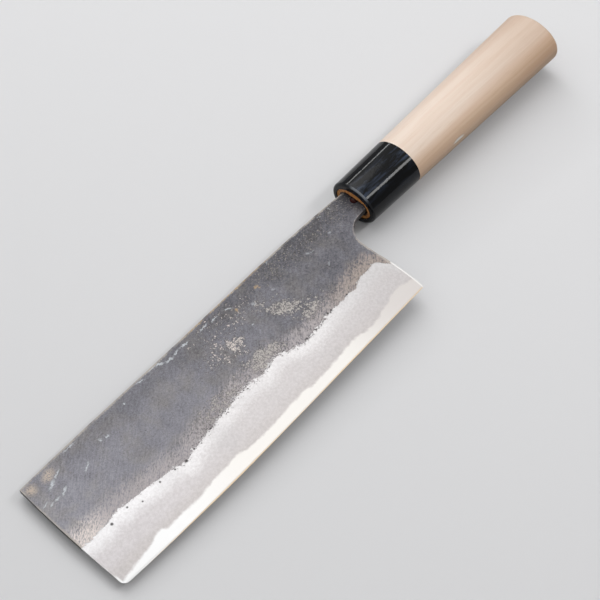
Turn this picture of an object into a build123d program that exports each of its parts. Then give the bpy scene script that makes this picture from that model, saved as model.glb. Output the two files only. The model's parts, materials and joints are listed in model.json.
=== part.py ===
from build123d import *
import os

os.makedirs("parts", exist_ok=True)

# Nakiri: a straight-edged vegetable knife with a hidden tang in a wooden handle.
# It is drawn about its own middle plane: X runs from the tip, at minus, to the butt, at plus,
# and is zero at the ferrule's mouth. Y runs from the edge to the spine and is zero on the
# handle's axis. Z points out of the left face. At the end the knife is laid on its right side.
# All lengths are in millimetres.

# Blade outline
edge_length = 165.7
heel_setback = 13.3
heel_depth = 47.1
edge_bow = 1.5
edge_station_shares = (0.0, 0.2, 0.43, 0.72, 1.0)
edge_bow_shares = (0.0, 0.85, 1.0, 0.55, 0.0)
edge_corner_radius = 2.5
nose_lean = 1.3
nose_bow = 0.65
spine_height = 7.3
spine_station_shares = (0.0, 0.1, 0.437, 0.719, 0.887)
spine_height_shares = (0.945, 1.0, 1.0, 1.05, 1.0)
heel_bend_drop = 17.5
heel_lean = 0.3
heel_bow = 0.6
heel_corner_radius = 1.0
neck_top = 6.35
neck_bottom = 5.95
neck_flare = 0.65
choil_radius = 10.3

# Blade thickness, ground bevel and the narrow sharpened strip along the edge
neck_thickness = 2.9
tip_thickness = 1.9
bevel_height = 21.0
sharpened_height = 0.6
shoulder_thickness = 0.3
edge_thickness = 0.08

# The line where the hard core comes out of the bevel, from tip to heel, as shares of the
# height from the sharpened strip up to the top of the bevel
lamination_shares = (
    0.10, 0.11, 0.19, 0.25, 0.19, 0.19, 0.24, 0.27, 0.24, 0.22, 0.20,
    0.23, 0.29, 0.19, 0.20, 0.23, 0.20, 0.17, 0.24, 0.32, 0.23,
)

# Tang
tang_length = 95.0
tang_end_height = 5.0
tang_end_thickness = 2.0
tang_end_radius = 1.5

# Oval handle and ferrule
handle_length = 124.0
mouth_height = 22.2
mouth_width = 18.7
butt_height = 27.8
butt_width = 21.0
butt_round = 2.3
ferrule_length = 29.0
ferrule_round = 1.2
tenon_height = 17.5
tenon_width = 12.8
tenon_recess = 0.4
glue_gap = 0.1

# Tang socket and its resin
socket_height = 13.8
socket_width = 6.8
socket_depth = 12.0
resin_recess = 1.5
resin_drop_radius = 1.6
resin_drop_reach = 0.6
resin_drop_rise = 0.4

# One overrun serves all cuts
overrun = 3.0

# Places worked out from the sizes
tip_x = -(heel_setback + edge_length)
edge_y = -heel_depth
edge_points = [
    (tip_x + edge_length * station, edge_y - edge_bow * bow)
    for station, bow in zip(edge_station_shares, edge_bow_shares)
]
heel_top = (-heel_setback - heel_lean, -neck_bottom - neck_flare)
heel_bend = (heel_top[0], heel_top[1] - heel_bend_drop)
heel_middle = (
    -heel_setback - heel_lean / 2 + heel_bow,
    (heel_bend[1] + edge_y) / 2,
)
spine_corner = (tip_x + nose_lean, spine_height * spine_height_shares[0])
spine_points = [
    (spine_corner[0] * (1 - station), spine_height * height)
    for station, height in zip(spine_station_shares, spine_height_shares)
]


def half_thickness(x):
    """Half the blade's thickness above the bevel, which thins steadily from heel to tip."""
    share = (x + heel_setback) / (tip_x + heel_setback)
    return (neck_thickness * (1 - share) + tip_thickness * share) / 2


def lamination_points(shares):
    """Points on the face between core and cladding, so that the bevel cuts it at these heights."""
    points = []
    for index, share in enumerate(shares):
        x = tip_x + edge_length * index / (len(shares) - 1)
        shoulder = shoulder_thickness / 2
        points.append((x, shoulder + (half_thickness(x) - shoulder) * share))
    return points


# Wedge: the ground thickness of the whole blank, from tip to tang, as one tapering body.
# Each station is an X place, the half thickness there and the height of the edge there.
wedge_stations = (
    (tip_x - overrun, half_thickness(tip_x - overrun), edge_y),
    *[(x, half_thickness(x), y) for x, y in edge_points],
    (0, neck_thickness / 2, edge_y),
    (tang_length + overrun, tang_end_thickness / 2, edge_y),
)
wedge_top = spine_height + overrun
wedge_foot = edge_y - edge_bow - overrun
with BuildPart() as wedge:
    for station_x, half, station_edge in wedge_stations:
        left_side = [
            (wedge_top, half),
            (station_edge + bevel_height, half),
            (station_edge + sharpened_height, shoulder_thickness / 2),
            (station_edge, edge_thickness / 2),
            (wedge_foot, edge_thickness / 2),
        ]
        right_side = [(y, -z) for y, z in reversed(left_side)]
        with BuildSketch(Plane.YZ.offset(station_x)):
            with BuildLine():
                Polyline(*left_side, *right_side, close=True)
            make_face()
    loft(ruled=True)

# Blank: the outline of blade, neck and tang, ground to the wedge.
with BuildPart() as blank:
    with BuildSketch(Plane.XY.offset(-neck_thickness)) as outline:
        with BuildLine():
            Spline(*spine_points, (0, neck_top))
            Polyline(
                (0, neck_top),
                (tang_length, tang_end_height / 2),
                (tang_length, -tang_end_height / 2),
                (0, -neck_bottom),
                heel_top,
                heel_bend,
            )
            ThreePointArc(heel_bend, heel_middle, edge_points[4])
            ThreePointArc(edge_points[4], edge_points[3], edge_points[2])
            ThreePointArc(edge_points[2], edge_points[1], edge_points[0])
            nose_middle = (
                (tip_x + spine_corner[0]) / 2 - nose_bow,
                (edge_y + spine_corner[1]) / 2,
            )
            ThreePointArc((tip_x, edge_y), nose_middle, spine_corner)
        make_face()
        for corner, radius in (
            (heel_top, choil_radius),
            (edge_points[0], edge_corner_radius),
            (edge_points[4], heel_corner_radius),
        ):
            rounded = outline.vertices().sort_by_distance((*corner, -neck_thickness))[0]
            fillet(rounded, radius=radius)
        fillet(outline.vertices().sort_by(Axis.X)[-2:], radius=tang_end_radius)
    extrude(amount=2 * neck_thickness)
    add(wedge.part, mode=Mode.INTERSECT)

# Grip: the outer oval that handle and ferrule are turned to together.
with BuildPart() as grip:
    with BuildSketch(Plane.YZ):
        Ellipse(mouth_height / 2, mouth_width / 2)
    with BuildSketch(Plane.YZ.offset(handle_length)):
        Ellipse(butt_height / 2, butt_width / 2)
    loft(ruled=True)
    fillet(grip.faces().sort_by(Axis.X)[-1].edges(), radius=butt_round)
    fillet(grip.faces().sort_by(Axis.X)[0].edges(), radius=ferrule_round)

# Table: the knife lies on it with the butt's underside and the tip
butt_x = handle_length - butt_round
butt_share = butt_x / handle_length
butt_half = (mouth_width * (1 - butt_share) + butt_width * butt_share) / 2
tip_low = Vector(tip_x, 0, -tip_thickness / 2)
butt_low = Vector(butt_x, 0, -butt_half)
along_table = (butt_low - tip_low).normalized()
table_up = along_table.cross(Vector(0, 1, 0))
table = Plane(origin=tip_low, x_dir=along_table, z_dir=table_up)
footprint = table.to_local_coords(Compound([blank.part, grip.part])).bounding_box()
footprint_middle = Vector(footprint.center().X, footprint.center().Y, footprint.min.Z)
rest_plane = Plane(table.from_local_coords(footprint_middle), along_table, table_up)
onto_table = rest_plane.location.inverse()

# Core layer: the sheet of hard steel through the middle of the blank. Its faces waver from
# forging, which is what makes the line on the bevel wander.
left_points = lamination_points(lamination_shares)
right_points = [(x, -z) for x, z in lamination_points(lamination_shares[::-1])]
with BuildPart() as core_layer:
    with BuildSketch(Plane.XZ.offset(-wedge_top)):
        with BuildLine():
            Spline(*left_points)
            Polyline(
                left_points[-1],
                (tang_length + overrun, left_points[-1][1]),
                (tang_length + overrun, right_points[-1][1]),
                right_points[-1],
            )
            Spline(*right_points)
            Polyline(
                right_points[0],
                (tip_x - overrun, right_points[0][1]),
                (tip_x - overrun, left_points[0][1]),
                left_points[0],
            )
        make_face()
    extrude(amount=wedge_top - wedge_foot)

# Hard core with the cutting edge
with BuildPart() as core_steel:
    add(blank.part)
    add(core_layer.part, mode=Mode.INTERSECT)
core_steel.part.move(onto_table)
core_steel.part.label = "core_steel"
export_step(core_steel.part, "parts/core_steel.step")

# Soft iron cladding on the left face
with BuildPart() as left_cladding:
    add(blank.part)
    add(core_layer.part, mode=Mode.SUBTRACT)
    split(bisect_by=Plane.XY, keep=Keep.TOP)
left_cladding.part.move(onto_table)
left_cladding.part.label = "left_cladding"
export_step(left_cladding.part, "parts/left_cladding.step")

# Soft iron cladding on the right face
with BuildPart() as right_cladding:
    add(blank.part)
    add(core_layer.part, mode=Mode.SUBTRACT)
    split(bisect_by=Plane.XY, keep=Keep.BOTTOM)
right_cladding.part.move(onto_table)
right_cladding.part.label = "right_cladding"
export_step(right_cladding.part, "parts/right_cladding.step")

ferrule_plane = Plane.YZ.offset(ferrule_length)

# Ferrule: a polished black collar, bored for the tenon
with BuildPart() as ferrule:
    add(grip.part)
    split(bisect_by=ferrule_plane, keep=Keep.BOTTOM)
    with BuildSketch(Plane.YZ.offset(-overrun)):
        Ellipse(tenon_height / 2 + glue_gap, tenon_width / 2 + glue_gap)
    extrude(amount=ferrule_length + 2 * overrun, mode=Mode.SUBTRACT)
ferrule.part.move(onto_table)
ferrule.part.label = "ferrule"
export_step(ferrule.part, "parts/ferrule.step")

# Handle: one piece of pale wood, with a tenon through the ferrule and a socket for the tang
with BuildPart() as handle:
    add(grip.part)
    split(bisect_by=ferrule_plane, keep=Keep.TOP)
    with BuildSketch(Plane.YZ.offset(tenon_recess)):
        Ellipse(tenon_height / 2, tenon_width / 2)
    extrude(amount=ferrule_length - tenon_recess)
    with BuildSketch(Plane.YZ.offset(-overrun)):
        SlotOverall(socket_height, socket_width)
    extrude(amount=socket_depth + overrun, mode=Mode.SUBTRACT)
    add(blank.part, mode=Mode.SUBTRACT)
handle.part.move(onto_table)
handle.part.label = "handle"
export_step(handle.part, "parts/handle.step")

# Resin: it seals the tang in the mouth of the socket, with one drop that ran out on the left
with BuildPart() as tang_resin:
    with BuildSketch(Plane.YZ.offset(resin_recess)):
        SlotOverall(socket_height, socket_width)
    extrude(amount=socket_depth - resin_recess)
    drop_x = resin_drop_radius - resin_drop_reach
    with Locations((drop_x, resin_drop_rise, neck_thickness / 2)):
        Sphere(resin_drop_radius)
    add(blank.part, mode=Mode.SUBTRACT)
tang_resin.part.move(onto_table)
tang_resin.part.label = "tang_resin"
export_step(tang_resin.part, "parts/tang_resin.step")

for piece in (core_steel, left_cladding, right_cladding, ferrule, handle, tang_resin):
    print(piece.part.label, round(piece.part.volume, 1), "mm3, valid", piece.part.is_valid)
print("overall", footprint.size)
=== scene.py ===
import json
import math

import bmesh
import bpy
from mathutils import Matrix, Vector


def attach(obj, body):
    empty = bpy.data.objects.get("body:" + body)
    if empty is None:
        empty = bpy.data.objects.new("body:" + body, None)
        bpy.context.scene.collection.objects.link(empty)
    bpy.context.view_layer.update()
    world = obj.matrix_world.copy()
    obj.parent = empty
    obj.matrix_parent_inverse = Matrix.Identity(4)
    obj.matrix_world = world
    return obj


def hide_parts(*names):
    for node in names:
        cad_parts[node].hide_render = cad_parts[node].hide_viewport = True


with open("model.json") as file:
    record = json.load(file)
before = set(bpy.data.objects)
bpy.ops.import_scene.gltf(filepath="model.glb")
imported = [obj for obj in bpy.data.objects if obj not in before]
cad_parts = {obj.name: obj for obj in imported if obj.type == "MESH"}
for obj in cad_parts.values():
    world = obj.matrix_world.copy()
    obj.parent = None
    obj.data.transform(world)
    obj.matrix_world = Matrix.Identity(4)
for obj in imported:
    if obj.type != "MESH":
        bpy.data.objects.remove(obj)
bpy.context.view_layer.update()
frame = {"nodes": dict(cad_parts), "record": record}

# Core: one sheet of hard steel from the tip to the end of the tang. It carries the cutting edge,
# which is honed bright, and shows in the spine as a thin line between the two claddings.
mounts = {mount["name"]: mount for mount in frame["record"]["mounts"]}
handle_length = 0.124
# The smith measures from the handle's axis at the ferrule's mouth, along to the butt, up to the
# spine and out of the left face. The knife leans as it rests, so the flat butt gives that place.
to_butt = Vector(mounts["butt_end"]["axis"]).normalized()
to_spine = Vector((0, 1, 0))
to_left = to_butt.cross(to_spine)
knife = Matrix((to_butt, to_spine, to_left)).transposed().to_4x4()
knife.translation = Vector(mounts["butt_end"]["pos_m"]) - to_butt * handle_length
millimetre = 0.001


def shade(red, green, blue):
    """A colour as a shader takes it, from the 0 to 255 that a colour card gives."""
    linear = []
    for level in (red, green, blue):
        level = level / 255
        linear.append(level / 12.92 if level <= 0.04045 else ((level + 0.055) / 1.055) ** 2.4)
    return (*linear, 1.0)


class Finish:
    """The finish of a surface: its material, and short ways to add and join the nodes."""

    def __init__(self, name):
        self.material = bpy.data.materials.new(name)
        self.material.use_nodes = True
        self.tree = self.material.node_tree
        self.shader = self.tree.nodes["Principled BSDF"]

    def join(self, value, socket):
        if isinstance(value, bpy.types.NodeSocket):
            self.tree.links.new(value, socket)
        else:
            socket.default_value = value

    def node(self, kind, values=(), **settings):
        made = self.tree.nodes.new("ShaderNode" + kind)
        for setting, value in settings.items():
            setattr(made, setting, value)
        for socket, value in values:
            self.join(value, made.inputs[socket])
        return made

    def set(self, **values):
        for socket, value in values.items():
            self.join(value, self.shader.inputs[socket.replace("_", " ")])

    def math(self, operation, first, second=0.0, third=0.0):
        values = ((0, first), (1, second), (2, third))
        return self.node("Math", values, operation=operation).outputs[0]

    def step(self, value, start, end):
        """Rises smoothly from 0 at start to 1 at end, which may be the lower of the two."""
        values = (("Value", value), ("From Min", start), ("From Max", end))
        made = self.node("MapRange", values, interpolation_type="SMOOTHSTEP")
        return made.outputs["Result"]

    def sway(self, value, amount):
        """Swings a noise, which keeps near its middle of 0.5, either side of zero."""
        return self.math("MULTIPLY_ADD", value, amount, -amount / 2)

    def mix(self, share, first, second):
        values = ((0, share), (2, first), (3, second))
        return self.node("Mix", values, data_type="FLOAT").outputs[0]

    def colour(self, share, first, second):
        values = ((0, share), (6, first), (7, second))
        return self.node("Mix", values, data_type="RGBA").outputs[2]

    def curve(self, value, points):
        """A smooth line through points of (value, height)."""
        (start, _), (end, _) = points[0], points[-1]
        low = min(height for _, height in points)
        high = max(height for _, height in points)
        share = self.math("DIVIDE", self.math("SUBTRACT", value, start), end - start)
        made = self.node("FloatCurve", (("Value", share),))
        line = made.mapping.curves[0]
        scaled = [((at - start) / (end - start), (h - low) / (high - low)) for at, h in points]
        line.points[0].location = scaled[0]
        line.points[1].location = scaled[-1]
        for at, height in scaled[1:-1]:
            line.points.new(at, height)
        made.mapping.update()
        return self.math("MULTIPLY_ADD", made.outputs[0], high - low, low)

    def noise(self, place, size, detail=2.0, roughness=0.5, spread=0.0):
        values = (("Vector", place), ("Scale", 1 / size), ("Detail", detail))
        values += (("Roughness", roughness), ("Distortion", spread))
        return self.node("TexNoise", values)

    def strayed(self, place, noise, far):
        """The place shifted about by a noise's colours."""
        values = ((0, noise.outputs[1]), (1, (0.5,) * 3))
        shift = self.node("VectorMath", values, operation="SUBTRACT").outputs[0]
        shift = self.node("VectorMath", ((0, shift), (3, far)), operation="SCALE").outputs[0]
        return self.node("VectorMath", ((0, place), (1, shift)), operation="ADD").outputs[0]

    def drawn(self, place, stretch, turn=0.0):
        """The place turned about the third axis and then scaled, so that a pattern runs along."""
        turned = self.node("Mapping", (("Vector", place), ("Rotation", (0, 0, -turn))))
        values = (("Vector", turned.outputs[0]), ("Scale", stretch))
        return self.node("Mapping", values).outputs[0]

    def spot(self, place, middle, reach, turn=0.0, soft=0.5):
        """1 inside an oval on the blade's face, falling to 0 at its reach."""
        values = (
            ("Vector", place), ("Location", (*middle, 0)), ("Rotation", (0, 0, turn)),
            ("Scale", (*reach, 1000)),
        )
        turned = self.node("Mapping", values, vector_type="TEXTURE")
        far = self.node("VectorMath", ((0, turned.outputs[0]),), operation="LENGTH")
        return self.step(far.outputs["Value"], 1.0, soft)

    def stroke(self, place, start, end, width, soft=0.3):
        """A fine line on the blade's face from start to end."""
        middle = ((start[0] + end[0]) / 2, (start[1] + end[1]) / 2)
        length = math.dist(start, end)
        turn = math.atan2(end[1] - start[1], end[0] - start[0])
        return self.spot(place, middle, (length / 2 + width, width), turn, soft)

    def most(self, *values):
        highest = values[0]
        for value in values[1:]:
            highest = self.math("MAXIMUM", highest, value)
        return highest

    def knife_place(self):
        """A point's place in the smith's frame, in millimetres."""
        to_knife = knife.inverted()
        place = self.node("TexCoord")
        values = (
            ("Vector", place.outputs["Object"]), ("Scale", (1 / millimetre,) * 3),
            ("Rotation", to_knife.to_euler()), ("Location", to_knife.translation / millimetre),
        )
        return self.node("Mapping", values).outputs[0]


# Where the black forge scale ends and the ground bevel begins, from tip to heel
scale_line = (
    (-181, -25.9), (-178.9, -25.9), (-169.5, -26.3), (-161.4, -25.4), (-153.3, -26.1),
    (-144.5, -27.4), (-134.5, -28.4), (-130.1, -30.3), (-125.8, -28.8), (-114.5, -27.5),
    (-102, -26.1), (-93.3, -25.5), (-85.8, -26.5), (-78.3, -25.1), (-69.5, -28.0),
    (-57, -28.9), (-49.5, -27.8), (-43.3, -28.0), (-32, -27.4), (-24.5, -26.1),
    (-18.3, -25.9), (-12, -25.9),
)
# The cutting edge, and how far above it the core comes out of the bevel
edge_line = (
    (-179.0, -47.1), (-145.9, -48.4), (-107.7, -48.6), (-59.7, -47.9), (-13.3, -47.1),
)
core_line = (
    (-179, 2.0), (-175, 2.7), (-169, 3.6), (-163, 4.7), (-160, 5.1), (-157, 6.5), (-154, 5.2),
    (-148, 4.9), (-139, 4.7), (-133, 5.7), (-121, 6.0), (-116.5, 6.4), (-112, 5.3), (-100, 4.7),
    (-91, 5.1), (-82, 5.5), (-73, 4.4), (-61, 4.7), (-49, 5.4), (-43, 3.9), (-37, 4.0),
    (-34, 5.1), (-28, 6.1), (-22, 7.2), (-18, 6.6), (-13.3, 5.0),
)
# The outline beside the worn edges: spine, nose, heel and the round choil under the neck
spine_line = (
    (-177.7, 6.9), (-159.9, 7.3), (-100.0, 7.3), (-49.9, 7.67), (-20.1, 7.3), (0, 6.35),
)
nose_line = ((-47.1, -179.0), (-20.1, -179.0), (6.9, -177.7))
heel_line = ((-47.1, -13.3), (-35.6, -12.85), (-24.1, -13.6))
choil_middle, choil_radius = (-3.3, -16.9), 10.3
tip, heel = -179.0, -13.3
relief_depth = 0.00004


def blade_finish(name):
    """Forge scale on the flats, a ground bevel, and a bright strip where the core comes out."""
    finish = Finish(name)
    place = finish.knife_place()
    axes = finish.node("SeparateXYZ", ((0, place),))
    along, height, out = axes.outputs
    left = finish.math("GREATER_THAN", out, 0.0)
    # The right face carries the same marks turned end for end
    turned = finish.math("SUBTRACT", tip + heel, along)
    run = finish.mix(left, turned, along)
    drawn = finish.node("CombineXYZ", ((0, run), (1, height), (2, out))).outputs[0]

    patchy = finish.noise(drawn, 6.0, 3.0, 0.6)
    coarse = patchy.outputs[0]
    grain = finish.noise(drawn, 1.1, 2.0, 0.65)
    speck = grain.outputs[0]
    fine = finish.noise(drawn, 0.55, 1.0).outputs[0]
    cloud = finish.noise(drawn, 24.0, 2.0).outputs[0]

    line = finish.curve(run, scale_line)
    heel_drop = finish.math("MULTIPLY", finish.step(along, -18.5, -13.3), 4.6)
    line = finish.math("SUBTRACT", line, heel_drop)
    mid_length = finish.math("MULTIPLY", finish.step(run, -142, -124), finish.step(run, -38, -50))
    ragged = finish.sway(coarse, 3.0)
    ragged = finish.math("ADD", ragged, finish.sway(speck, 2.4))
    torn_out = finish.math("MULTIPLY_ADD", mid_length, 3.0, 1.0)
    ragged = finish.math("ADD", ragged, finish.math("MULTIPLY", finish.sway(fine, 1.0), torn_out))
    above = finish.math("ADD", finish.math("SUBTRACT", height, line), ragged)
    ground = finish.step(above, 0.15, -0.15)

    # Forge scale: violet-grey oxide with brown stains, rougher towards the tip, with fine scratches
    # slanting up to the right. It is lighter towards the tip, partly from wear and partly as a
    # painted sheen where the light is stronger.
    streak_place = finish.drawn(drawn, (0.18, 1.25, 1.0), math.radians(40))
    streak = finish.noise(streak_place, 1.0, 3.0, 0.75).outputs[0]
    tip_wear = finish.math("MULTIPLY_ADD", finish.step(run, -130, -165), 1.0, 0.9)
    roughened = finish.math("MULTIPLY", finish.sway(streak, 0.5), tip_wear)
    roughened = finish.math("ADD", roughened, finish.sway(speck, 0.5))
    roughened = finish.math("ADD", roughened, finish.sway(fine, 0.4))
    # Partly painted sheen: the scale grows lighter along the blade towards the tip
    lift = finish.math("MULTIPLY_ADD", run, -0.0038, 0.17)
    lift = finish.math("ADD", lift, finish.sway(cloud, 0.25))
    lift = finish.math("ADD", lift, finish.sway(coarse, 0.4))
    lift = finish.math("ADD", lift, roughened)
    lift = finish.math("SUBTRACT", lift, finish.math("MULTIPLY", finish.step(height, -6, 3), 0.2))
    lift = finish.math("ADD", lift, finish.math("MULTIPLY", finish.step(along, -25, -12), 0.08))
    brown = finish.noise(drawn, 10.0, 3.0, 0.6).outputs[0]
    brown = finish.math("MULTIPLY", finish.step(brown, 0.4, 0.7), 0.45)
    dark = finish.colour(brown, shade(71, 70, 77), shade(75, 71, 68))
    light = finish.colour(brown, shade(161, 160, 169), shade(167, 161, 154))
    scale = finish.colour(lift, dark, light)

    # Above the bevel the scale is rubbed thin and shows speckled grey-brown iron
    tip_end = finish.step(run, -160, -174)
    heel_end = finish.step(run, -62, -25)
    band_top = finish.math("MULTIPLY_ADD", tip_end, 1.0, 10.0)
    band = finish.math("DIVIDE", above, finish.math("ADD", band_top, finish.sway(coarse, 9.0)))
    band = finish.step(band, 1.0, 0.1)
    to_tip = finish.step(run, -110, -160)
    grit_place = finish.drawn(drawn, (0.9, 2.2, 1.0), math.radians(40))
    grit = finish.noise(grit_place, 1.0, 2.0, 0.6).outputs[0]
    thin = finish.math("ADD", finish.sway(grit, 2.8), finish.sway(streak, 1.8))
    thin = finish.math("ADD", thin, finish.sway(speck, 1.0))
    in_band = finish.math("MINIMUM", finish.math("MULTIPLY", band, 2.5), 1.0)
    thin = finish.math("MULTIPLY", thin, in_band)
    thin = finish.math("MULTIPLY_ADD", band, finish.math("MULTIPLY_ADD", to_tip, 0.08, 0.72), thin)
    thin = finish.math("MINIMUM", finish.math("MAXIMUM", thin, 0.0), 1.0)
    iron = finish.colour(heel_end, shade(186, 178, 179), shade(174, 160, 151))
    iron = finish.colour(tip_end, iron, shade(238, 227, 222))
    scale = finish.colour(thin, scale, iron)
    crumbs = finish.noise(drawn, 0.75, 1.0).outputs[0]
    by_line = finish.math("MULTIPLY", finish.step(above, 1.5, 0.2), mid_length)
    crumbs = finish.math("ADD", crumbs, finish.math("MULTIPLY", by_line, -0.12))
    crumbs = finish.math("MULTIPLY", finish.step(crumbs, 0.36, 0.28), finish.step(above, 7.0, 0.5))
    crumbs = finish.math("MULTIPLY", crumbs, finish.step(coarse, 0.4, 0.6))
    crumbs = finish.math("MULTIPLY", crumbs, finish.math("MULTIPLY_ADD", to_tip, -0.55, 0.75))
    crumbs = finish.math("MULTIPLY", crumbs, finish.math("MULTIPLY_ADD", heel_end, -0.4, 1.0))
    scale = finish.colour(crumbs, scale, shade(66, 61, 62))

    # Flakes where the scale has sprung off in fine crumbs: bright in one patch and strewn round
    # it, duller in a slanting band and above the bevel
    torn = finish.strayed(drawn, patchy, 16.0)
    bright_flakes = (
        (finish.spot(torn, (-81.5, -9.3), (6.5, 7.5), 0.0, 0.1), 0.26),
        (finish.spot(torn, (-89.5, -8.0), (15.0, 11.0), 0.0, 0.2), 0.165),
        (finish.spot(torn, (-76.0, 0.0), (32.0, 11.0), 0.0, 0.2), 0.135),
    )
    dull_flakes = (
        (finish.spot(torn, (-57.0, -11.4), (15.5, 7.0), math.radians(-38), 0.2), 0.28),
        (finish.spot(torn, (-79.5, -21.5), (15.0, 8.0), 0.0, 0.2), 0.28),
        (finish.spot(torn, (-51.0, -21.5), (14.0, 7.5), 0.0, 0.2), 0.25),
        (finish.spot(torn, (-104.0, -24.0), (24.0, 5.5), 0.0, 0.2), 0.2),
    )
    bright_flakes = finish.most(*(finish.math("MULTIPLY", *patch) for patch in bright_flakes))
    dull_flakes = finish.most(*(finish.math("MULTIPLY", *patch) for patch in dull_flakes))
    flaked = finish.noise(drawn, 1.3, 3.0, 0.8, 0.5).outputs[0]
    flaked = finish.math("ADD", flaked, finish.most(bright_flakes, dull_flakes))
    crumbled = finish.math("MULTIPLY", finish.sway(speck, 0.9), dull_flakes)
    flaked = finish.math("ADD", flaked, crumbled)
    flakes = finish.step(flaked, 0.70, 0.76)
    flake_light = finish.colour(
        finish.step(finish.math("SUBTRACT", bright_flakes, dull_flakes), -0.05, 0.05),
        shade(196, 190, 184), shade(240, 230, 223),
    )
    flake_colour = finish.colour(finish.step(fine, 0.35, 0.6), shade(134, 129, 127), flake_light)
    scale = finish.colour(finish.math("MULTIPLY", flakes, 0.9), scale, flake_colour)
    rim = finish.math("MULTIPLY", finish.step(flaked, 0.62, 0.68), finish.step(flaked, 0.74, 0.70))
    scale = finish.colour(finish.math("MULTIPLY", rim, 0.5), scale, shade(66, 61, 62))

    # Fine bright specks towards the neck, most of them along the spine: partly grit and partly
    # painted glints of light
    glints = finish.noise(drawn, 0.6, 1.0).outputs[0]
    near_neck = finish.math("MULTIPLY", finish.step(run, -75, -45), finish.step(height, -9, 2))
    glints = finish.math("MULTIPLY", finish.step(glints, 0.64, 0.72), near_neck)
    scale = finish.colour(finish.math("MULTIPLY", glints, 0.6), scale, shade(188, 178, 162))

    # Single scratches and nicks, bluish white where they cut to bright iron
    wavy = finish.strayed(drawn, grain, 2.2)
    scratches = []
    for start, end, width in (
        ((-170.8, -1.6), (-166.5, 0.8), 0.9), ((-167.0, 0.3), (-162.0, 2.5), 0.45),
        ((-177.6, -4.8), (-174.4, -4.4), 0.5), ((-175.5, -6.6), (-173.0, -5.7), 0.5),
        ((-172.3, -6.0), (-170.0, -5.9), 0.6), ((-169.4, -6.6), (-165.3, -4.4), 0.6),
        ((-157.6, -6.0), (-153.2, -3.4), 0.5), ((-144.6, -0.4), (-144.2, -0.4), 0.7),
        ((-141.8, -1.3), (-141.2, -1.3), 0.8), ((-127.9, 3.7), (-127.5, 3.7), 0.5),
        ((-158.0, 6.3), (-150.0, 5.9), 0.3), ((-119.8, 6.6), (-115.1, 5.3), 0.5),
        ((-112.8, 6.8), (-108.0, 6.6), 0.5), ((-108.3, 6.6), (-105.1, 4.6), 0.65),
        ((-105.1, 4.5), (-101.0, 4.1), 0.7), ((-101.0, 4.1), (-97.5, 5.1), 0.6),
        ((-97.5, 5.1), (-91.6, 4.3), 0.45), ((-86.5, 4.3), (-81.2, 4.8), 0.55),
        ((-80.3, 3.8), (-76.5, 4.0), 0.5), ((-73.3, 4.0), (-69.5, 1.9), 0.45),
        ((-63.5, -2.8), (-63.1, -2.8), 1.1), ((-70.7, -9.0), (-70.5, -9.0), 0.5),
        ((-53.5, -4.1), (-52.9, -4.1), 0.8), ((-32.2, -2.2), (-30.7, -3.4), 0.5),
        ((-30.7, -3.4), (-28.4, -3.4), 0.45), ((-18.0, -2.8), (-17.6, -2.8), 0.7),
        ((-9.2, 6.0), (-8.8, 4.3), 0.4), ((-15.8, 5.8), (-13.8, 5.2), 0.4),
        ((-46.0, 5.8), (-44.8, 6.9), 0.4), ((-31.0, -13.2), (-28.4, -11.8), 0.4),
    ):
        scratches.append(finish.stroke(wavy, start, end, width * 1.1, 0.1))
    scratched = finish.math("MULTIPLY", finish.most(*scratches), finish.step(fine, 0.1, 0.45))
    faded = finish.math("MULTIPLY_ADD", finish.step(run, -73, -65), -0.55, 1.0)
    scratched = finish.math("MULTIPLY", scratched, faded)
    scale = finish.colour(scratched, scale, shade(204, 209, 214))

    # Stains: two tan patches at the tip and small rust spots below the spine
    tan = finish.most(
        finish.spot(wavy, (-175.0, 3.7), (3.4, 3.4), 0.0, 0.1),
        finish.spot(wavy, (-166.8, 3.5), (4.8, 3.1), math.radians(20), 0.1),
    )
    tan = finish.math("MULTIPLY", tan, finish.step(fine, 0.25, 0.55))
    scale = finish.colour(finish.math("MULTIPLY", tan, 0.75), scale, shade(212, 194, 176))
    rust = finish.most(
        finish.spot(wavy, (-69.7, 0.4), (0.9, 1.3), 0.0, 0.2),
        finish.spot(wavy, (-56.8, 1.9), (1.4, 0.8), 0.0, 0.2),
        finish.spot(wavy, (-55.9, 0.6), (0.5, 0.7), 0.0, 0.2),
    )
    scale = finish.colour(finish.math("MULTIPLY", rust, 0.65), scale, shade(206, 176, 132))

    # Along the outline, bright iron where the scale is worn through and a painted highlight where
    # the edge catches the light, golden with rust along the spine
    below_spine = finish.math("SUBTRACT", finish.curve(run, spine_line), height)
    beside = finish.math("MAXIMUM", finish.math("SUBTRACT", choil_middle[0], along), 0.0)
    over = finish.math("MAXIMUM", finish.math("SUBTRACT", height, choil_middle[1]), 0.0)
    opening = finish.node("CombineXYZ", ((0, beside), (1, over))).outputs[0]
    opening = finish.node("VectorMath", ((0, opening),), operation="LENGTH").outputs["Value"]
    from_choil = finish.math("SUBTRACT", opening, choil_radius)
    from_nose = finish.math("SUBTRACT", run, finish.curve(height, nose_line))
    inward = finish.math("MINIMUM", finish.math("MINIMUM", below_spine, from_choil), from_nose)
    # Partly painted highlight: a bright line just inside the outline
    worn_edge_and_highlight = finish.step(finish.math("ADD", inward, finish.sway(fine, 1.6)), 0.95, 0.35)
    worn_edge_and_highlight = finish.math("MULTIPLY", worn_edge_and_highlight, finish.step(coarse, 0.25, 0.55))
    golden = finish.math("MULTIPLY", finish.step(run, -96, -84), finish.step(run, -42, -50))
    golden = finish.math("MULTIPLY", golden, finish.step(height, 4.0, 6.0))
    golden = finish.math("MULTIPLY", golden, finish.step(streak, 0.35, 0.6))
    worn_and_highlight = finish.colour(golden, shade(190, 182, 174), shade(200, 170, 128))
    scale = finish.colour(finish.math("MULTIPLY", worn_edge_and_highlight, 0.85), scale, worn_and_highlight)

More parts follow.
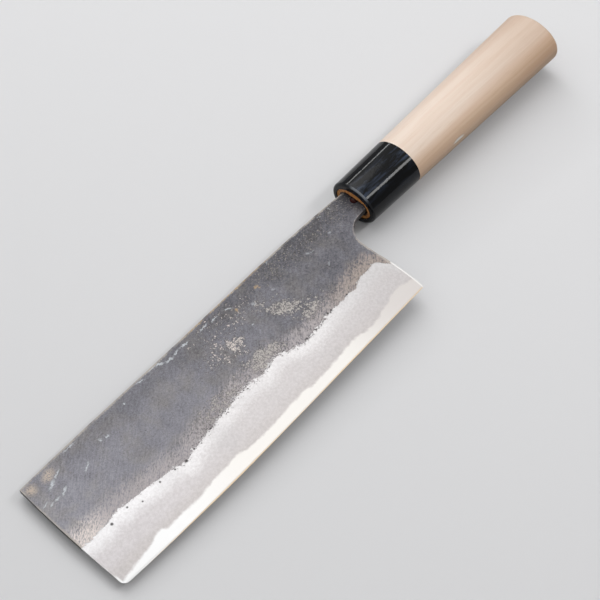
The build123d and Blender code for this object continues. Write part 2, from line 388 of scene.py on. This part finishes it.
    # Spine, nose and choil: filed across and left dark
    normal = finish.node("TexCoord").outputs["Normal"]
    facing = finish.node("VectorMath", ((0, normal), (1, to_left)), operation="DOT_PRODUCT")
    facing = finish.math("ABSOLUTE", facing.outputs["Value"])
    side = finish.step(facing, 0.45, 0.3)
    filed = finish.colour(finish.step(coarse, 0.35, 0.65), shade(84, 82, 86), shade(122, 116, 112))
    scale = finish.colour(side, scale, filed)

    # Ground bevel: satin, whitest next to the scale, with a few pits left from the forging
    # Painted shade: the bevel is greyer towards the heel, where the light falls off, and lighter
    # towards the tip
    high = finish.colour(to_tip, shade(216, 214, 214), shade(226, 225, 226))
    high = finish.colour(heel_end, high, shade(199, 197, 197))
    middle = finish.colour(to_tip, shade(194, 190, 190), shade(198, 194, 195))
    satin = finish.colour(finish.step(above, -1.5, -8.5), high, middle)
    satin = finish.colour(finish.step(height, -37.0, -43.0), satin, shade(189, 184, 183))
    dull = finish.math("MULTIPLY", finish.step(cloud, 0.5, 0.7), 0.25)
    satin = finish.colour(dull, satin, shade(178, 176, 177))
    mottle = finish.step(finish.noise(drawn, 1.0, 3.0, 0.7).outputs[0], 0.3, 0.7)
    mottle = finish.colour(mottle, shade(206, 202, 201), shade(255, 255, 255))
    mixed = finish.node("Mix", ((0, 0.35), (6, satin), (7, mottle)), data_type="RGBA")
    mixed.blend_type = "MULTIPLY"
    satin = mixed.outputs[2]
    pits = []
    for pit, reach in (
        ((-165.6, -27.6), 0.85), ((-152.1, -29.6), 0.5), ((-142.5, -28.9), 0.6),
        ((-135.3, -29.5), 0.55), ((-130.1, -30.2), 0.9), ((-124.7, -29.0), 0.65),
        ((-157.4, -27.1), 0.6), ((-61.9, -28.9), 0.7), ((-48.0, -27.4), 0.7),
        ((-46.0, -27.4), 0.7), ((-36.5, -27.3), 0.6),
    ):
        pits.append(finish.spot(drawn, pit, (reach, reach), 0.0, 0.3))
    pinholes = finish.noise(drawn, 0.8, 1.0).outputs[0]
    by_line = finish.math("MULTIPLY", finish.step(above, -2.0, -0.2), finish.step(above, 1.2, 0.2))
    pinholes = finish.math("MULTIPLY", finish.step(pinholes, 0.37, 0.31), by_line)
    pitted = finish.most(finish.math("MULTIPLY", pinholes, mid_length), *pits)

    # Where the core comes out of the bevel, it is whiter, and creamy at the honed edge. The corner
    # at the tip and the filed heel are bright too.
    above_edge = finish.math("SUBTRACT", height, finish.curve(along, edge_line))
    above_core = finish.math("SUBTRACT", above_edge, finish.curve(run, core_line))
    wavering = finish.noise(drawn, 3.0, 3.0, 0.6).outputs[0]
    above_core = finish.math("ADD", above_core, finish.sway(wavering, 2.0))
    # Painted shade: the core's strip is greyer towards the heel, where the light falls off, and
    # lighter towards the tip
    white = finish.colour(to_tip, shade(219, 216, 212), shade(225, 225, 225))
    white = finish.colour(heel_end, white, shade(202, 197, 194))
    white = finish.colour(finish.step(above_edge, 0.6, 0.15), white, shade(216, 192, 160))
    bevel = finish.colour(finish.step(above_core, 0.7, -0.6), satin, white)
    by_nose = finish.step(from_nose, 1.0, 0.4)
    corner = finish.math("MULTIPLY", by_nose, finish.step(height, -41, -44))
    bevel = finish.colour(corner, bevel, white)
    from_heel = finish.math("SUBTRACT", finish.curve(height, heel_line), along)
    bevel = finish.colour(finish.step(from_heel, 0.8, 0.4), bevel, shade(226, 224, 222))

    whole = finish.colour(ground, scale, bevel)
    finish.set(
        Base_Color=finish.colour(finish.math("MULTIPLY", pitted, 0.9), whole, shade(54, 50, 50)),
        Metallic=finish.math("MULTIPLY", ground, finish.math("MULTIPLY_ADD", pitted, -0.7, 0.7)),
        Roughness=finish.mix(ground, 0.6, 0.42),
    )

    # Relief: the scale stands a little proud and rough, and the flakes and pits are sunk
    scaled = finish.math("SUBTRACT", 1.0, ground)
    relief = finish.math("MULTIPLY", speck, 0.9)
    relief = finish.math("ADD", relief, finish.math("MULTIPLY", streak, 0.6))
    relief = finish.math("MULTIPLY", relief, finish.math("MULTIPLY_ADD", scaled, 0.85, 0.15))
    relief = finish.math("ADD", relief, scaled)
    relief = finish.math("SUBTRACT", relief, finish.math("MULTIPLY", flakes, 0.5))
    relief = finish.math("SUBTRACT", relief, pitted)
    values = (("Height", relief), ("Strength", 1.0), ("Distance", relief_depth))
    finish.set(Normal=finish.node("Bump", values).outputs[0])
    return finish


core = frame["nodes"]["core_steel"]
hard_steel = blade_finish("hard_steel")
core.material_slots[0].material = hard_steel.material

# Claddings: a layer of soft iron forge-welded to each side of the core. The flats keep their
# black forge scale, and the bevel is ground through iron and core to the edge. The outline's
# corners are worn round, which is too fine for the solids.
soft_iron = blade_finish("soft_iron")
worn_radius = 0.00025
same_place = 1e-6
least_out = 0.0006
level, upright = 0.9, 0.3
for node, name, side in (
    ("left_cladding", "left_iron", 1), ("right_cladding", "right_iron", -1),
):
    mesh = frame["nodes"][node].data.copy()
    iron = bpy.data.objects.new(name, mesh)
    bpy.context.scene.collection.objects.link(iron)
    bpy.ops.object.select_all(action="DESELECT")
    bpy.context.view_layer.objects.active = iron
    iron.select_set(True)
    bpy.ops.mesh.customdata_custom_splitnormals_clear()
    bpy.ops.object.mode_set(mode="EDIT")
    bpy.ops.mesh.select_all(action="SELECT")
    bpy.ops.mesh.remove_doubles(threshold=same_place)
    bpy.ops.mesh.dissolve_limited(angle_limit=math.radians(0.1))
    bpy.ops.mesh.select_all(action="DESELECT")
    bpy.ops.mesh.select_mode(type="EDGE")
    shell = bmesh.from_edit_mesh(mesh)
    shell.normal_update()
    for edge in shell.edges:
        middle = (edge.verts[0].co + edge.verts[1].co) / 2
        out = (middle - knife.translation).dot(to_left) * side
        turns = sorted(face.normal.dot(to_left) * side for face in edge.link_faces)
        corner = len(turns) == 2 and turns[0] < upright and turns[1] > level
        edge.select_set(corner and out > least_out)
    bmesh.update_edit_mesh(mesh)
    bpy.ops.mesh.bevel(offset=worn_radius, segments=2, clamp_overlap=True)
    bpy.ops.mesh.select_all(action="SELECT")
    bpy.ops.mesh.normals_make_consistent(inside=False)
    bpy.ops.object.mode_set(mode="OBJECT")
    bpy.ops.object.shade_smooth_by_angle(angle=math.radians(30))
    for face in mesh.polygons:
        if abs(face.normal.dot(to_left)) > level:
            face.use_smooth = False
    mesh.materials.clear()
    mesh.materials.append(soft_iron.material)
    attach(iron, "root")
    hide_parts(node)

# Handle: one piece of pale, bare, straight-grained wood, oval and a little thicker at the butt.
# Its tenon fills the ferrule, and the hot tang was burnt into it, which browned its mouth.
pale_wood = Finish("pale_wood")
wood_place = pale_wood.knife_place()
wood_axes = pale_wood.node("SeparateXYZ", ((0, wood_place),)).outputs
# The growth rings of the tree run round a heart far below the handle
sway = pale_wood.noise(pale_wood.drawn(wood_place, (0.008, 0.05, 0.05)), 1.0, 2.0).outputs[1]
sway = pale_wood.node("VectorMath", ((0, sway), (3, 7.0)), operation="SCALE").outputs[0]
heart = (0, -34.0, -52.0)
from_heart = pale_wood.node("VectorMath", ((0, wood_place), (1, heart)), operation="SUBTRACT")
from_heart = pale_wood.node("VectorMath", ((0, from_heart.outputs[0]), (1, sway)), operation="ADD")
across_rings = pale_wood.drawn(from_heart.outputs[0], (0.0, 1.0, 1.0))
ring = pale_wood.node("VectorMath", ((0, across_rings),), operation="LENGTH").outputs["Value"]
growth = pale_wood.node(
    "TexNoise", (("W", pale_wood.math("MULTIPLY", ring, 0.55)), ("Scale", 1.0), ("Detail", 3.0)),
    noise_dimensions="1D",
).outputs[0]
fibre_place = pale_wood.drawn(wood_place, (0.12, 3.2, 3.2))
fibre = pale_wood.noise(fibre_place, 1.0, 3.0, 0.6).outputs[0]
blush_place = pale_wood.drawn(wood_place, (0.014, 0.3, 0.3))
blush = pale_wood.noise(blush_place, 1.0, 2.0).outputs[0]
growth_share = pale_wood.step(growth, 0.3, 0.7)
wood = pale_wood.colour(growth_share, shade(236, 216, 199), shade(241, 223, 208))
wood = pale_wood.colour(
    pale_wood.math("MULTIPLY", pale_wood.step(blush, 0.42, 0.68), 0.5), wood, shade(232, 205, 186)
)
wood = pale_wood.colour(
    pale_wood.math("MULTIPLY", pale_wood.step(fibre, 0.5, 0.75), 0.22), wood, shade(208, 178, 146)
)
# Painted shade: a little darker towards the butt, where the light falls off, and warmer and
# darker low on the edge's side, where the underside is in shade
painted_butt_shade = pale_wood.colour(
    pale_wood.step(wood_axes[0], 50.0, 130.0), shade(255, 255, 255), shade(231, 224, 218)
)
painted_underside_shade = pale_wood.colour(
    pale_wood.step(wood_axes[1], -4.0, -11.0), shade(255, 255, 255), shade(246, 232, 216)
)
for tint in (painted_butt_shade, painted_underside_shade):
    values = ((0, 1.0), (6, wood), (7, tint))
    wood = pale_wood.node("Mix", values, data_type="RGBA", blend_type="MULTIPLY").outputs[2]
# A nick low on the left side: a sunk bump, with a painted highlight along its top and painted
# shade below it
nick_middle, nick_reach = (54.3, -12.2, 1.3), (4.2, 2.0, 1.4)
nick_place = pale_wood.node(
    "Mapping", (("Vector", wood_place), ("Location", nick_middle), ("Scale", nick_reach)),
    vector_type="TEXTURE",
)
nick = pale_wood.node("VectorMath", ((0, nick_place.outputs[0]),), operation="LENGTH")
nick = pale_wood.step(nick.outputs["Value"], 1.0, 0.5)
across_nick = pale_wood.node("SeparateXYZ", ((0, nick_place.outputs[0]),)).outputs[2]
painted_nick_light = pale_wood.colour(
    pale_wood.step(across_nick, -0.5, 0.0), shade(204, 176, 148), shade(255, 250, 242)
)
wood = pale_wood.colour(pale_wood.math("MULTIPLY", nick, 0.9), wood, painted_nick_light)
# The mouth: amber round the rim, charred in the socket
socket_half, socket_straight = 3.4, 3.5
reach = pale_wood.math("SUBTRACT", pale_wood.math("ABSOLUTE", wood_axes[1]), socket_straight)
reach = pale_wood.math("MAXIMUM", reach, 0.0)
reach = pale_wood.node("CombineXYZ", ((0, reach), (1, wood_axes[2]))).outputs[0]
reach = pale_wood.node("VectorMath", ((0, reach),), operation="LENGTH").outputs["Value"]
smoke = pale_wood.noise(wood_place, 1.2, 3.0, 0.6).outputs[0]
reach = pale_wood.math("ADD", reach, pale_wood.math("MULTIPLY_ADD", smoke, 1.3, -0.65))
smoked = pale_wood.step(smoke, 0.35, 0.65)
amber = pale_wood.colour(smoked, shade(206, 128, 62), shade(236, 172, 104))
mouth = pale_wood.colour(
    pale_wood.step(reach, socket_half + 0.7, socket_half + 0.1), amber, shade(44, 26, 18)
)
wood = pale_wood.colour(pale_wood.step(wood_axes[0], 26.0, 2.0), wood, mouth)
wood_relief = pale_wood.math("MULTIPLY_ADD", fibre, 0.4, pale_wood.math("MULTIPLY", growth, 0.3))
wood_relief = pale_wood.math("SUBTRACT", wood_relief, pale_wood.math("MULTIPLY", nick, 2.5))
fibre_depth = 0.00005
values = (("Height", wood_relief), ("Strength", 1.0), ("Distance", fibre_depth))
pale_wood.set(Base_Color=wood, Roughness=0.5, Normal=pale_wood.node("Bump", values).outputs[0])
frame["nodes"]["handle"].material_slots[0].material = pale_wood.material

# Ferrule: a collar of black horn, glued on the handle's tenon, turned with the handle and
# polished. Blue-grey streaks along its left side are partly horn marbling and partly a painted
# reflection of the panel, and a pale arc on its front rim is a painted highlight.
black_ferrule = Finish("black_ferrule")
ferrule_place = black_ferrule.knife_place()
horn_place = black_ferrule.drawn(ferrule_place, (0.07, 0.5, 0.5))
horn = black_ferrule.noise(horn_place, 1.0, 4.0, 0.65, 0.4).outputs[0]
ferrule_height = black_ferrule.node("SeparateXYZ", ((0, ferrule_place),)).outputs[1]
# Blue-grey streaks in a band along the left side: partly horn marbling, partly painted reflection
sheen_band_height = -2.5
from_sheen_band = black_ferrule.math("SUBTRACT", ferrule_height, sheen_band_height)
from_sheen_band = black_ferrule.math("ABSOLUTE", from_sheen_band)
marbled_sheen = black_ferrule.math("MULTIPLY_ADD", black_ferrule.step(from_sheen_band, 5.5, 3.0), 0.8, 0.2)
horn_and_painted_light = black_ferrule.colour(
    black_ferrule.math("MULTIPLY", black_ferrule.step(horn, 0.45, 0.75), marbled_sheen),
    shade(5, 6, 8), shade(58, 68, 86),
)
ripple_place = black_ferrule.drawn(ferrule_place, (0.03, 0.2, 0.2))
ripple = black_ferrule.noise(ripple_place, 1.0, 1.0).outputs[0]
ripple_depth = 0.00005
values = (("Height", ripple), ("Strength", 1.0), ("Distance", ripple_depth))
across = black_ferrule.node("TexCoord").outputs["Normal"]
across = black_ferrule.node("VectorMath", ((0, across), (1, -to_butt)), operation="DOT_PRODUCT")
across = across.outputs["Value"]
# Painted highlight: a pale arc on the front rim, within the band of the painted reflection
past_side = black_ferrule.step(across, 0.1, 0.4)
before_front = black_ferrule.step(across, 0.97, 0.8)
painted_rim_highlight = black_ferrule.math("MULTIPLY", past_side, before_front)
rim_highlight_share = black_ferrule.math("MULTIPLY_ADD", marbled_sheen, 0.7, -0.1)
painted_rim_highlight = black_ferrule.math("MULTIPLY", painted_rim_highlight, rim_highlight_share)
horn_and_painted_light = black_ferrule.colour(painted_rim_highlight, horn_and_painted_light, shade(146, 150, 156))
black_ferrule.set(
    Base_Color=horn_and_painted_light, Roughness=0.08, Specular_IOR_Level=0.22,
    Normal=black_ferrule.node("Bump", values).outputs[0],
)
frame["nodes"]["ferrule"].material_slots[0].material = black_ferrule.material

# Resin: dark red and glossy, poured hot round the tang to seal it in the burnt mouth of the
# socket. One drop ran out of it and set on the left face of the neck.
dark_resin = Finish("dark_resin")
resin_place = dark_resin.knife_place()
resin_cloud = dark_resin.noise(resin_place, 2.0, 2.0).outputs[0]
dark_resin.set(
    Base_Color=dark_resin.colour(resin_cloud, shade(34, 6, 4), shade(84, 18, 10)),
    Roughness=0.12, Specular_IOR_Level=0.35,
)
frame["nodes"]["tang_resin"].material_slots[0].material = dark_resin.material

# Floor: a plain pale table that the knife lies on. It throws only a little light back up, so
# the undersides stay dark, and far from the knife it glows, so that it is pale all over.
bpy.ops.object.select_all(action="DESELECT")
table_size = 12
bpy.ops.mesh.primitive_plane_add(size=table_size, location=(0, 0, 0))
floor = bpy.context.object
floor.name = "floor"
pale_table = Finish("pale_table")
ray = pale_table.node("LightPath").outputs
seen = pale_table.most(ray["Is Camera Ray"], ray["Is Glossy Ray"], ray["Is Transmission Ray"])
bounced_colour, seen_colour = (0.1, 0.1, 0.1, 1), (0.75, 0.75, 0.76, 1)
table_colour = pale_table.colour(seen, bounced_colour, seen_colour)
table_place = pale_table.node("TexCoord").outputs["Object"]
far_off = pale_table.node("VectorMath", ((0, table_place),), operation="LENGTH").outputs["Value"]
glow_start, glow_full, glow = 0.4, 1.8, 0.45
far_glow = pale_table.math("MULTIPLY", pale_table.step(far_off, glow_start, glow_full), glow)
pale_table.set(
    Base_Color=table_colour, Roughness=0.8, Emission_Color=(1, 1, 1, 1),
    Emission_Strength=pale_table.math("MULTIPLY", far_glow, seen),
)
floor.data.materials.append(pale_table.material)

# Light: a plain soft studio. A wide panel hangs over the knife, and a key stands beyond the butt
# on the spine's side. A broad strip on the edge's side and a thin one on the spine's side draw
# the two lines along the polished ferrule.
world = bpy.data.worlds.new("studio")
bpy.context.scene.world = world
world.use_nodes = True
room_grey = (0.3, 0.3, 0.3, 1)
world.node_tree.nodes["Background"].inputs["Color"].default_value = room_grey


def soft_light(name, middle, aim, size, brightness):
    """A soft light in the smith's frame. At brightness 1 on all sides a white sheet looks white."""
    lamp = bpy.data.lights.new(name, "AREA")
    lamp.shape = "RECTANGLE"
    lamp.size, lamp.size_y = size
    lamp.energy = brightness * math.pi * size[0] * size[1]
    stand = bpy.data.objects.new(name, lamp)
    bpy.context.scene.collection.objects.link(stand)
    away = (Vector(middle) - Vector(aim)).normalized()
    side = Vector((1, 0, 0))
    side = (side - away * side.dot(away)).normalized()
    turn = Matrix((side, away.cross(side), away)).transposed().to_4x4()
    turn.translation = Vector(middle)
    stand.matrix_world = knife @ turn


distance = 0.8
for name, tilt, along, size, brightness in (
    ("panel", 74, 0.0, (1.8, 1.75), 0.43),
    ("spine_strip", 26.5, 0.49, (0.5, 0.05), 8.0),
    ("edge_strip", 121.6, 0.49, (0.5, 0.12), 10.5),
):
    angle = math.radians(tilt)
    place = (along, math.cos(angle) * distance, math.sin(angle) * distance)
    soft_light(name, place, (along, 0, 0), size, brightness)
soft_light("key", (0.2, 0.42, 0.72), (-0.1, 0, 0), (0.5, 1.1), 1.55)

# Camera: a long lens that stands over the tip, on the edge's side, and looks along the blade at
# the handle. Its place and turn are in the smith's frame.
camera_data = bpy.data.cameras.new("camera")
camera_data.lens = 92.3
camera_data.sensor_width = 36
camera_data.shift_x = 0.0022
camera_data.shift_y = -0.0229
camera = bpy.data.objects.new("camera", camera_data)
bpy.context.scene.collection.objects.link(camera)
camera_right = Vector((0.6562, -0.7545, -0.0088))
camera_up = Vector((0.6215, 0.5339, 0.5733))
camera_back = camera_right.cross(camera_up).normalized()
camera_up = camera_back.cross(camera_right).normalized()
stand = Matrix((camera_right.normalized(), camera_up, camera_back)).transposed().to_4x4()
stand.translation = Vector((-302.2, -239.4, 492.5)) * millimetre
camera.matrix_world = knife @ stand
bpy.context.scene.camera = camera
bpy.context.scene.view_settings.view_transform = "Standard"
